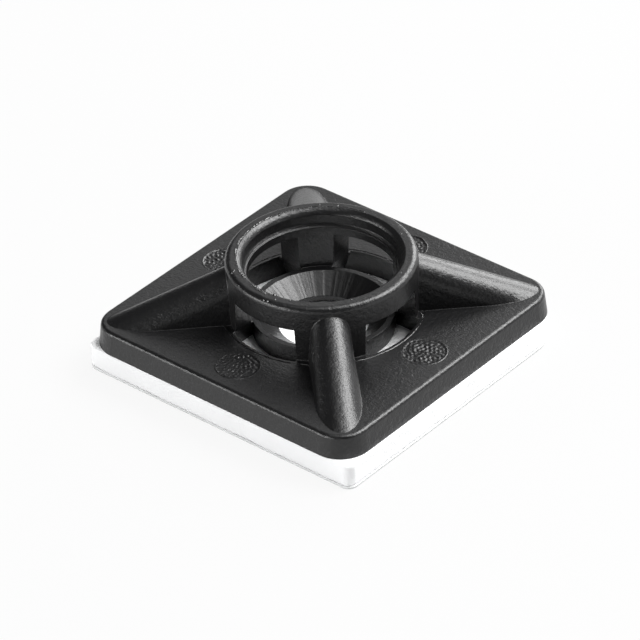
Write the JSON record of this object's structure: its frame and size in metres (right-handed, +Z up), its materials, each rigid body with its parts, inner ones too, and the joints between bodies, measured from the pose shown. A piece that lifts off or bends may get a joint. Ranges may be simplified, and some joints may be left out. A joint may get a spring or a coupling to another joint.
{
  "type": "cable tie mount",
  "caption": "Square black moulded base on a white adhesive foam pad, with a windowed ring for threading a cable tie, ribs to the corners and a countersunk screw seat.",
  "frame": {"origin": "middle of the release liner's underside, below the screw hole's axis", "axes": "+Z up along the screw hole's axis, +X and +Y square to the sides of the base and along the tie windows"},
  "size_m": [0.0202, 0.0202, 0.0068],
  "materials": {
    "black_nylon": "satin, fine moulded grain",
    "white_foam": "matt closed-cell foam",
    "liner_paper": "smooth coated paper"
  },
  "bodies": {
    "root": {"moulded_base": "black_nylon", "foam_pad": "white_foam", "release_liner": "liner_paper"}
  },
  "joints": []
}
